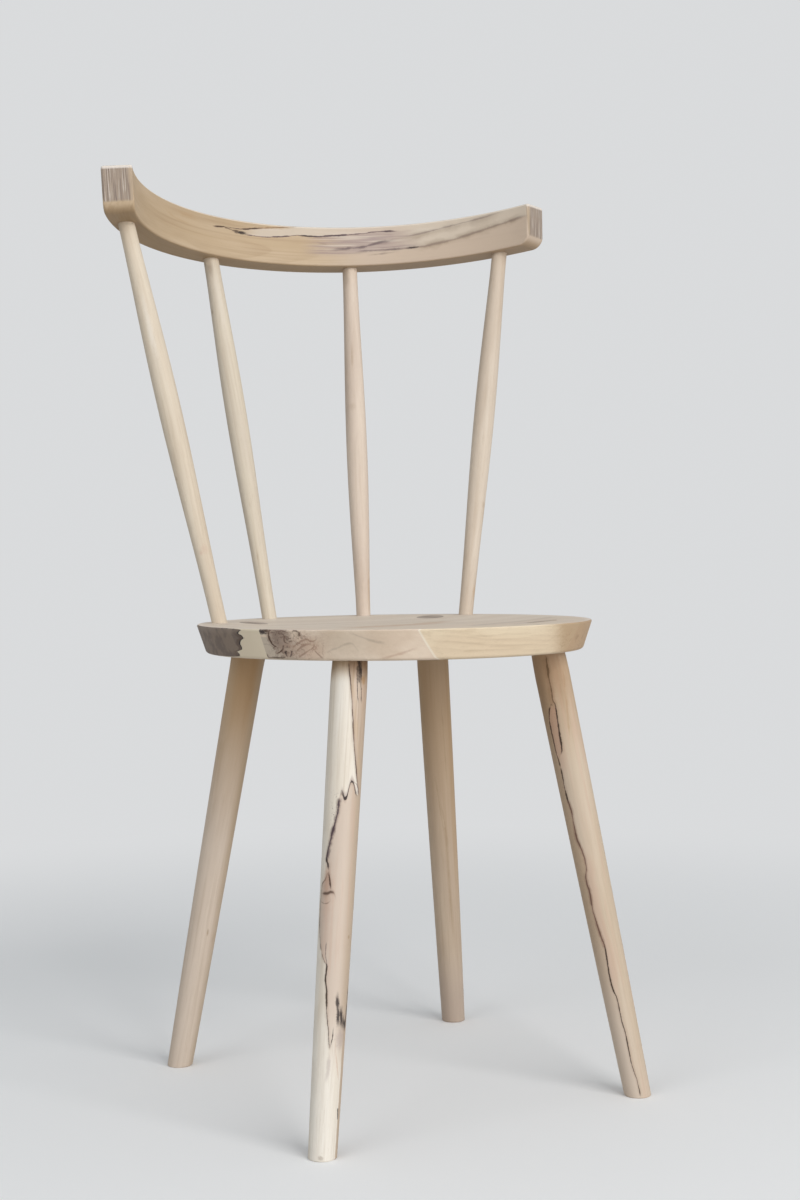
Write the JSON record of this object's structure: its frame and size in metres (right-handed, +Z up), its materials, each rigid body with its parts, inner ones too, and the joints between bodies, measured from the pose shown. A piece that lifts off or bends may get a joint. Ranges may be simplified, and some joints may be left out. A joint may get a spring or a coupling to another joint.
{
  "type": "windsor chair",
  "caption": "Wooden side chair with splayed legs wedged through a round dished seat, and spindles that carry a bent crest rail.",
  "frame": {"origin": "on the floor, under the middle of the chair's bounding box", "axes": "+Z up, the chair's front faces -Y, +X is on the right of somebody looking at its front"},
  "size_m": [0.4912, 0.4574, 0.8692],
  "materials": {
    "seat_wood": "bare spalted hardwood, matt, sanded smooth",
    "leg_wood": "bare spalted hardwood, matt, shaved round",
    "spindle_wood": "bare pale hardwood, matt, shaved round",
    "rail_wood": "bare spalted hardwood, matt, sanded smooth",
    "wedge_wood": "bare hardwood end grain, trimmed flush"
  },
  "bodies": {
    "root": {"crest_rail": "rail_wood", "leg_front_left": "leg_wood", "leg_front_right": "leg_wood", "leg_rear_left": "leg_wood", "leg_rear_right": "leg_wood", "leg_wedge_front_left": "wedge_wood", "leg_wedge_front_right": "wedge_wood", "leg_wedge_rear_left": "wedge_wood", "leg_wedge_rear_right": "wedge_wood", "seat_board_front": "seat_wood", "seat_board_middle": "seat_wood", "seat_board_rear": "seat_wood", "spindle_inner_left": "spindle_wood", "spindle_inner_right": "spindle_wood", "spindle_outer_left": "spindle_wood", "spindle_outer_right": "spindle_wood", "spindle_wedge_inner_left": "wedge_wood", "spindle_wedge_inner_right": "wedge_wood", "spindle_wedge_outer_left": "wedge_wood", "spindle_wedge_outer_right": "wedge_wood"}
  },
  "joints": []
}
